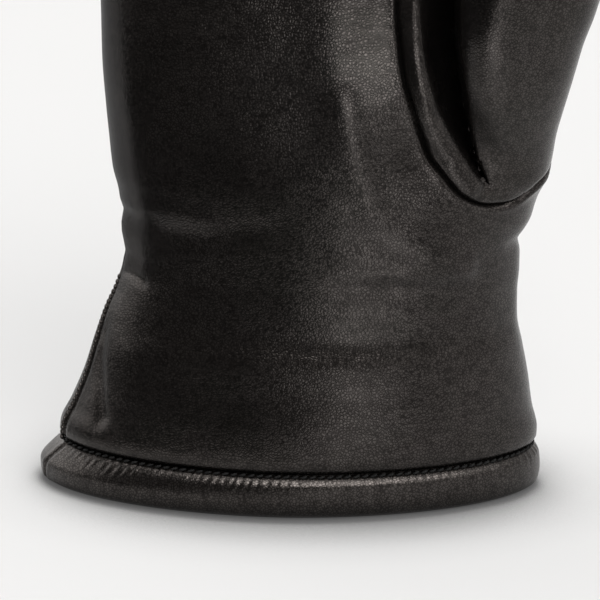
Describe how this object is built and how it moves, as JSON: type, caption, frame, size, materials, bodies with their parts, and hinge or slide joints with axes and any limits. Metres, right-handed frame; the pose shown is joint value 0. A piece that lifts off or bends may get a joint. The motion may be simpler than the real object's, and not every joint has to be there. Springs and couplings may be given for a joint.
{
  "type": "leather dress glove",
  "caption": "Right-hand dress glove of smooth black leather, standing on its padded hem, with a set-in thumb, fourchettes between the fingers and a flared cuff.",
  "frame": {"origin": "middle of the footprint of the glove's box on the surface that it stands on", "axes": "+Z from the cuff to the fingertips, -Y out of the palm, +X to the thumb side"},
  "size_m": [0.1282, 0.0666, 0.2523],
  "materials": {
    "leather": "smooth black, fine grain, soft gloss",
    "thumb_leather": "smooth black, fine grain, soft gloss",
    "hem_leather": "smooth black, fine grain, stretched a little glossier over the padding",
    "side_leather": "smooth black, fine grain, a little duller",
    "thread": "black sewing thread"
  },
  "bodies": {
    "root": {"trank": "leather", "thumb": "thumb_leather", "hem": "hem_leather", "fourchette_index_middle": "side_leather", "fourchette_middle_ring": "side_leather", "fourchette_ring_little": "side_leather"}
  },
  "joints": []
}
